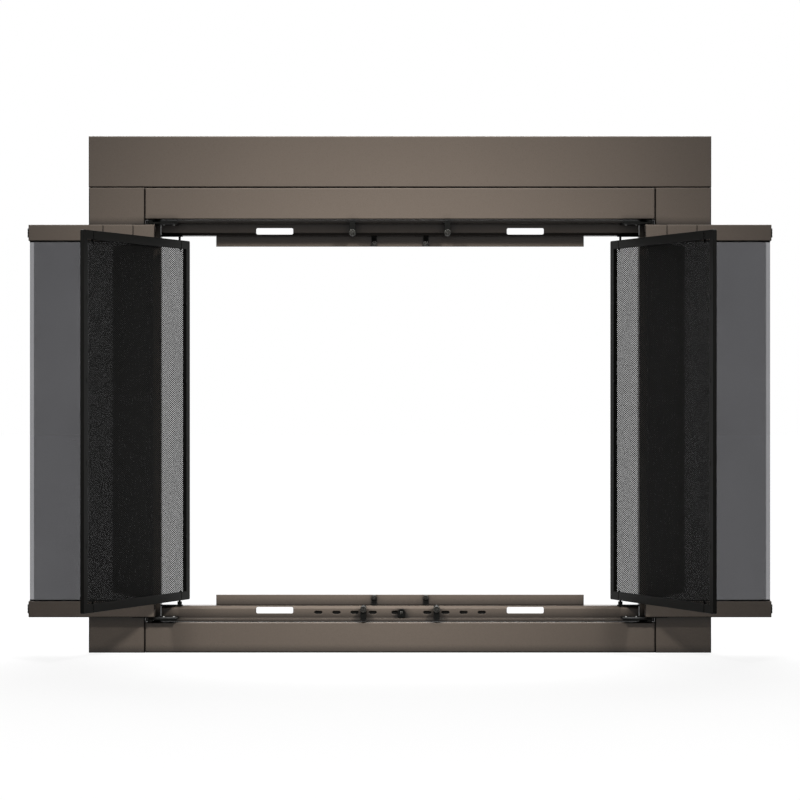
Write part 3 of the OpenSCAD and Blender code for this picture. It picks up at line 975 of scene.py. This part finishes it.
@dataclass
class FoldHinge:
    """The small hinges that join a folding pair at its folded end, top and bottom."""

    side: Side
    finishes: Finishes
    end: float = -565.65
    axis_x: float = -566.95
    axis_depth: float = -10.75
    middle: float = 67.7
    sheet: float = 1.0
    hinged_reach: Pair = (-9.8, -2.0)
    lead_reach: Pair = (-11.7, -19.5)
    root: float = 6.85
    tip: float = 4.0
    knuckle: float = 1.25
    half_knuckle: float = 2.5
    gap: float = 0.35
    soft: float = 0.25

    def build(self) -> None:
        """Builds each panel's half of both hinges."""
        inner, outer = self.half_knuckle + self.gap, self.root
        knuckles = {
            Leaf.HINGED: ((inner, outer), (-outer, -inner)),
            Leaf.LEAD: ((-self.half_knuckle, self.half_knuckle),),
        }
        reaches = {Leaf.HINGED: self.hinged_reach, Leaf.LEAD: self.lead_reach}
        nodes = {Leaf.HINGED: "fold_pins", Leaf.LEAD: "fold_leaves"}
        side = self.side.value
        for leaf, spans in knuckles.items():
            shape = Shape()
            for end in End:
                turn = self.side.mirror @ end.flip
                shape.place(turn, self.plate(shape, reaches[leaf]))
                for span in spans:
                    shape.place(turn, self.barrel(shape, span))
            name = f"{side}_{leaf.value[0]}"
            node = f"{side}_{nodes[leaf]}"
            shape.piece(f"{name}_hinge_halves", f"{name}_panel", "satin_black", self.finishes, [node])

    def plate(self, shape: Shape, reach: Pair) -> Verts:
        """A leaf that narrows away from the knuckles.

        Args:
            shape: what it is added to.
            reach: the depths of its root and its tip.

        Returns:
            Its vertices.
        """
        near, far = reach
        corners = ((near, -self.root), (far, -self.tip), (far, self.tip), (near, self.root))
        x = self.end - self.sheet
        outline = [point(x, behind, self.middle + rise) for behind, rise in corners]
        return shape.drawn(outline, ALONG * self.sheet * MM)

    def barrel(self, shape: Shape, span: Pair) -> Verts:
        """A knuckle with softened ends.

        Args:
            shape: what it is added to.
            span: its two ends, above the hinge's middle.

        Returns:
            Its vertices.
        """
        low, high = span
        r, soft = self.knuckle, self.soft
        outline = [(low, 0), (low, r - soft), (low + soft, r)]
        outline += [(high - soft, r), (high, r - soft), (high, 0)]
        at = point(self.axis_x, self.axis_depth, self.middle)
        return shape.turned(metres(outline), at, UP, steps=20)


@dataclass
class CornerSeal:
    """Foam blocks that close the four corners between the side and the long inner members."""

    finishes: Finishes
    low: Triple = (-379.5, 22.0, 46.6)
    high: Triple = (-367.6, 34.0, 49.4)
    soft: float = 0.4

    def build(self) -> None:
        """Builds the four blocks as one piece."""
        shape = Shape()
        for turn in four_corners():
            shape.place(turn, shape.block(point(*self.low), point(*self.high), self.soft * MM))
        shape.piece("corner_seals", "frame", "gasket", self.finishes)


# -------- catches


@dataclass
class Catches:
    """The magnets' holders and faces on the sill and on the stop bars, top and bottom."""

    finishes: Finishes
    sill: float = 51.0
    door_half: float = 4.5
    door_reach: Pair = (-7.2, 28.0)
    door_rise: float = 16.0
    door_low_x: float = 56.0
    door_high_x: float = 72.6
    door_r: float = 5.0
    door_t: float = 4.0
    edge: float = 69.2
    gate_x: float = 40.0
    gate_r: float = 4.0
    gate_rise: float = 12.1
    gate_reach: Pair = (50.2, 52.0)
    gate_t: float = 2.4
    gate_foot: Pair = (42.0, 50.2)
    foot: float = 2.5
    foot_lap: float = 0.4
    plate_soft: float = 0.3
    soft: float = 0.6

    def build(self) -> None:
        """Builds the holders and the magnets of each kind as one piece, as the CAD has them."""
        holders, faces = Shape(), Shape()
        top, reach = self.sill + self.door_rise, self.door_reach
        for end, x in ((End.BOTTOM, self.door_low_x), (End.TOP, self.door_high_x)):
            for side in Side:
                turn = side.mirror @ end.flip
                made = holders.arch(-x, self.door_half, self.sill, top, reach, self.soft)
                holders.place(turn, made)
                self.face(faces, turn, point(-x, reach[0], top), self.door_r, self.door_t)
        self.done(holders, "door_catch_holders", "satin_black")
        self.done(faces, "door_catch_magnets", "magnet")
        holders, faces = Shape(), Shape()
        centre = point(-self.gate_x, self.gate_reach[0], self.edge + self.gate_rise)
        for turn in four_corners():
            self.clip(holders, turn)
            self.face(faces, turn, centre, self.gate_r, self.gate_t)
        self.done(holders, "gate_catch_holders", "satin_black")
        self.done(faces, "gate_catch_magnets", "magnet")

    def done(self, shape: Shape, node: str, slot: str) -> None:
        """Ends a shape as the piece that stands for a CAD node."""
        shape.piece(f"{node}_detail", "frame", slot, self.finishes, [node])

    def clip(self, shape: Shape, turn: Matrix) -> None:
        """A gate catch's holder: a round-headed back plate on a short foot.

        Args:
            shape: what it is added to.
            turn: takes the left foot's place to the wanted one.
        """
        x, half, low = -self.gate_x, self.gate_r, self.edge
        top = low + self.gate_rise
        made = shape.arch(x, half, low, top, self.gate_reach, self.plate_soft)
        made += shape.block(
            point(x - half, self.gate_foot[0], low),
            point(x + half, self.gate_foot[1] + self.foot_lap, low + self.foot),
            self.soft * MM,
        )
        shape.place(turn, made)

    @staticmethod
    def face(shape: Shape, turn: Matrix, centre: Vector, r: float, t: float) -> None:
        """A magnet in its cup: a rounded rim, a sunk ring and a raised round pole.

        Args:
            shape: what it is added to.
            turn: takes the left foot's place to the wanted one.
            centre: the middle of its back, in metres.
            r: its radius.
            t: its thickness.
        """
        rim, shoulder, lip, sunk, crown = 0.3, 0.7, 0.2, 0.6, 0.1
        outline = [(0, 0), (0, r - rim), (rim, r), (t - shoulder, r)]
        outline += [(t - lip, r - lip), (t, r - shoulder), (t, r * 0.74), (t - sunk, r * 0.66)]
        outline += [(t - sunk, r * 0.5), (t - crown, r * 0.42), (t, r * 0.3), (t, 0)]
        shape.place(turn, shape.turned(metres(outline), centre, -BACK, steps=40))


# -------- draught control


@dataclass
class DraughtKnob:
    """The knob that moves the draught slider, with its neck, stem and foot."""

    finishes: Finishes
    x: float = 2.3
    z: float = 59.0
    front: float = 26.0
    radius: float = 6.5
    cap: float = 6.0
    neck_r: float = 5.5
    neck: float = 2.5
    stem_r: float = 2.0
    stem_end: float = 37.9
    foot_half: float = 5.5
    foot_low: float = 51.4
    foot_high: float = 55.75
    foot_soft: float = 0.9
    dish: float = 0.8
    screw_seat: float = 0.9
    flutes: int = 20
    flute: float = 0.35
    rim: float = 0.1

    def build(self) -> None:
        """Builds the knob as one turned and fluted piece with its foot, and its screw."""
        shape = Shape()
        r, cap, dish = self.radius, self.cap, self.dish
        stem_at, neck_at = self.stem_end - self.front, cap + self.neck
        outline = [(dish, 0), (dish, r * 0.45), (0.0, r * 0.6), (0.0, r - 1.2), (0.35, r - 0.4)]
        outline += [(1.1, r), (cap - 0.8, r), (cap - 0.2, r - 0.25), (cap, r - 0.9)]
        outline += [(cap, self.neck_r), (neck_at, self.neck_r), (neck_at, self.stem_r)]
        outline += [(stem_at, self.stem_r), (stem_at, 0)]
        centre = point(self.x, self.front, self.z)
        self.knurl(shape.turned(metres(outline), centre, BACK, 4 * self.flutes), centre)
        shape.block(
            point(self.x - self.foot_half, self.front, self.foot_low),
            point(self.x + self.foot_half, self.front + cap, self.foot_high),
            self.foot_soft * MM,
            segments=3,
        )
        shape.piece("draught_knob", "draught_control", "satin_black", self.finishes, ["slider_knob"])
        head = Shape()
        screw = [(0.0, 0), (0.0, 2.6), (0.35, 2.75), (0.8, 2.2), (0.95, 1.2), (0.6, 0.9), (0.6, 0)]
        head.turned(metres(screw), centre + BACK * self.screw_seat * MM, -BACK, steps=28)
        head.piece("draught_knob_screw", "draught_control", "magnet", self.finishes)

    def knurl(self, verts: Iterable[bmesh.types.BMVert], centre: Vector) -> None:
        """Presses even flutes into the knob's rim.

        Args:
            verts: the turned solid's vertices.
            centre: a point on its axis.
        """
        for vert in verts:
            arm = Vector((vert.co.x - centre.x, 0.0, vert.co.z - centre.z))
            if arm.length < (self.radius - self.rim) * MM:
                continue
            wave = math.cos(self.flutes * math.atan2(arm.z, arm.x))
            vert.co -= arm.normalized() * self.flute * MM * (0.5 - 0.5 * wave)


# -------- rivets


@dataclass
class Rivets:
    """The domed rivets that hold the four pivot brackets to the inner frame."""

    finishes: Finishes
    places: Pair = (-363.0, -347.0)
    back: float = 17.0
    sill: float = 51.0
    sheet: float = 1.5
    plate: float = 2.6
    shank: float = 1.8
    radius: float = 2.4
    shoulder: float = 2.1
    crown: float = 1.2
    head: float = 1.0
    dome: float = 0.35

    def build(self) -> None:
        """Builds all eight rivets as one piece."""
        shape = Shape()
        low, high = -self.sheet - self.head, self.plate + self.head
        outline = [(low, 0), (low, self.crown), (low + self.dome, self.shoulder)]
        outline += [(-self.sheet, self.radius), (-self.sheet, self.shank)]
        outline += [(self.plate, self.shank), (self.plate, self.radius)]
        outline += [(high - self.dome, self.shoulder), (high, self.crown), (high, 0)]
        for turn in four_corners():
            for x in self.places:
                at = point(x, self.back, self.sill)
                shape.place(turn, shape.turned(metres(outline), at, UP, steps=24))
        shape.piece("bracket_rivet_heads", "frame", "steel", self.finishes, ["bracket_rivets"])


# -------- studio


@dataclass
class Studio:
    """Camera, lamps, white surroundings and a pale floor."""

    eye: Vector = Vector((0.0, -4.8445, 0.3864))
    lens: float = 142.2
    sensor: float = 36.0
    surroundings: float = 0.15
    left_key: float = 810.0
    right_key: float = 1060.0
    key_place: Vector = Vector((-2.0, -3.6, 3.2))
    key_aim: Vector = Vector((-0.04, 0.0, 0.4))
    spot_radius: float = 0.28
    spot_angle: float = math.radians(13.4)
    sun: float = 1.5
    sun_angle: float = math.radians(30)
    sun_place: Vector = Vector((0.0, 3.0, 2.5))
    floor_half: float = 30.0
    glow: float = 0.87
    matt: Colour = (0.3, 0.3, 0.3)
    unseen: Colour = (0.26, 0.26, 0.26)

    def build(self) -> None:
        """Builds everything that isn't part of the door set."""
        self.camera()
        self.world()
        self.lamps()
        self.floor()

    def camera(self) -> None:
        """The photograph's view: level, straight on, from near the middle of its height."""
        data = bpy.data.cameras.new("camera")
        data.lens = self.lens
        data.sensor_width = self.sensor
        made = bpy.data.objects.new("camera", data)
        made.matrix_world = Matrix.Translation(self.eye) @ Matrix.Rotation(math.pi / 2, 4, "X")
        bpy.context.scene.collection.objects.link(made)
        bpy.context.scene.camera = made

    @staticmethod
    def seen(tree: bpy.types.NodeTree) -> Socket:
        """Tells what the camera sees from the light on the object.

        Args:
            tree: the tree that asks.

        Returns:
            1 for camera, glossy and transmission rays, and 0 for others.
        """
        path = tree.nodes.new("ShaderNodeLightPath").outputs
        total = path["Is Camera Ray"]
        for name in ("Is Glossy Ray", "Is Transmission Ray"):
            either = tree.nodes.new("ShaderNodeMath")
            either.operation = "MAXIMUM"
            tree.links.new(total, either.inputs[0])
            tree.links.new(path[name], either.inputs[1])
            total = either.outputs[0]
        return total

    def world(self) -> None:
        """White where it is seen, and a plain fill light elsewhere."""
        world = bpy.data.worlds.new("surroundings")
        world.use_nodes = True
        tree = world.node_tree
        level = tree.nodes.new("ShaderNodeMapRange")
        level.inputs["To Min"].default_value = self.surroundings
        tree.links.new(self.seen(tree), level.inputs["Value"])
        tree.links.new(level.outputs["Result"], tree.nodes["Background"].inputs["Strength"])
        tree.nodes["Background"].inputs["Color"].default_value = (1.0, 1.0, 1.0, 1.0)
        bpy.context.scene.world = world

    def lamps(self) -> None:
        """Two high soft spots, and a sun from behind."""
        for side, power in ((Side.LEFT, self.left_key), (Side.RIGHT, self.right_key)):
            lamp = bpy.data.lights.new(f"key_{side.value}", "SPOT")
            lamp.energy = power
            lamp.shadow_soft_size = self.spot_radius
            lamp.spot_size = self.spot_angle
            lamp.spot_blend = 1.0
            self.aimed(lamp, side.mirror @ self.key_place, self.key_aim)
        sun = bpy.data.lights.new("back_light", "SUN")
        sun.energy, sun.angle = self.sun, self.sun_angle
        self.aimed(sun, self.sun_place, Vector())

    @staticmethod
    def aimed(lamp: bpy.types.Light, at: Vector, aim: Vector) -> None:
        """Places a lamp.

        Args:
            lamp: the lamp.
            at: where it stands.
            aim: the point that it is turned to.
        """
        made = bpy.data.objects.new(lamp.name, lamp)
        turn = (aim - at).to_track_quat("-Z", "Y").to_matrix().to_4x4()
        made.matrix_world = Matrix.Translation(at) @ turn
        bpy.context.scene.collection.objects.link(made)

    def floor(self) -> None:
        """A pale floor that looks white and keeps the object's shadow."""
        sheet = bmesh.new()
        bmesh.ops.create_grid(sheet, x_segments=1, y_segments=1, size=self.floor_half)
        data = bpy.data.meshes.new("floor")
        sheet.to_mesh(data)
        sheet.free()
        graph = Graph("pale_floor")
        unseen = graph.add("ShaderNodeBsdfDiffuse", Color=self.unseen)
        glow = graph.add("ShaderNodeEmission", Color=(1.0, 1.0, 1.0), Strength=self.glow)
        matt = graph.add("ShaderNodeBsdfDiffuse", Color=self.matt)
        lit = graph.add("ShaderNodeAddShader")
        graph.put(lit.inputs[0], glow.outputs[0])
        graph.put(lit.inputs[1], matt.outputs[0])
        mixed = graph.add("ShaderNodeMixShader", Fac=self.seen(graph.tree))
        graph.put(mixed.inputs[1], unseen.outputs[0])
        graph.put(mixed.inputs[2], lit.outputs[0])
        data.materials.append(graph.surface(mixed))
        made = bpy.data.objects.new("floor", data)
        bpy.context.scene.collection.objects.link(made)


def main() -> None:
    """Builds the sub-assemblies in order."""
    logging.basicConfig(level=logging.INFO, format="%(name)s: %(message)s")
    bpy.context.scene.view_settings.view_transform = "Standard"
    Studio().build()
    finishes = Finishes()
    finishes.dress_cad()
    for side in Side:
        MeshGate(side, finishes).build()
        for leaf in Leaf:
            GlassPanel(side, leaf, finishes).build()
        FoldHinge(side, finishes).build()
    CornerSeal(finishes).build()
    Catches(finishes).build()
    DraughtKnob(finishes).build()
    Rivets(finishes).build()


if __name__ == "__main__":
    main()
